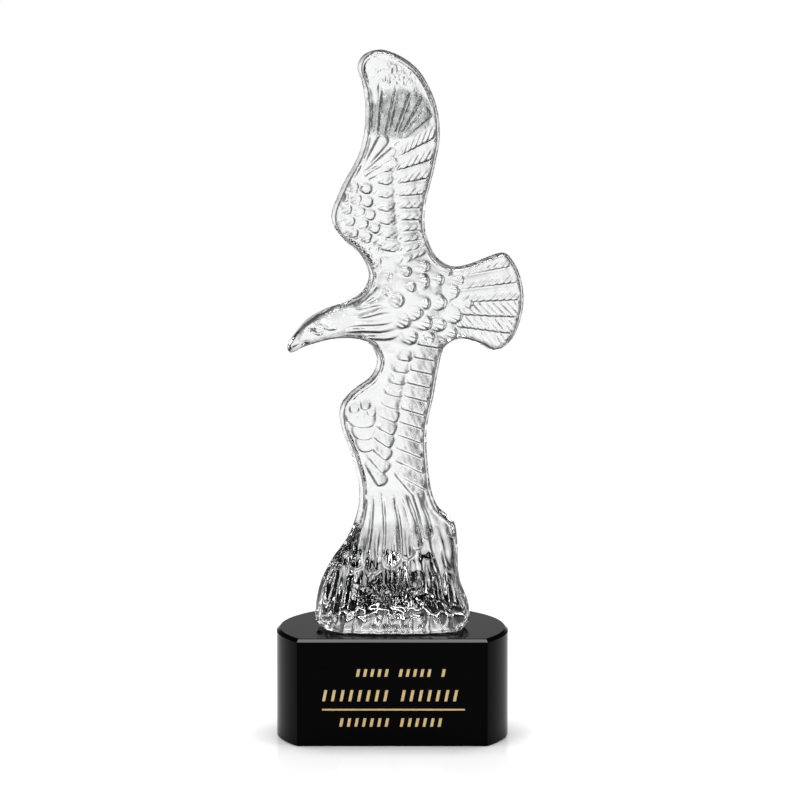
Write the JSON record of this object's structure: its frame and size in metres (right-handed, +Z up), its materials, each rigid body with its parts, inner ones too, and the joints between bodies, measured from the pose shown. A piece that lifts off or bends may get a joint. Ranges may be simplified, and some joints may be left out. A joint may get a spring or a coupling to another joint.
{
  "type": "crystal eagle sculpture",
  "caption": "Clear cast-crystal eagle with wings spread upright and a rough rock foot, on a black glass base with one flat front.",
  "frame": {"origin": "centre of the base's round plan, on its underside", "axes": "+Z up; the base's flat front and the carved side of the eagle face -Y; the head points to -X and the tail to +X"},
  "size_m": [0.108, 0.08, 0.302],
  "materials": {
    "clear_crystal": "fire-polished clear crystal",
    "black_glass": "polished opaque black",
    "gold_fill": "satin gold colour filling"
  },
  "bodies": {
    "root": {"eagle": "clear_crystal", "base": "black_glass"}
  },
  "joints": []
}
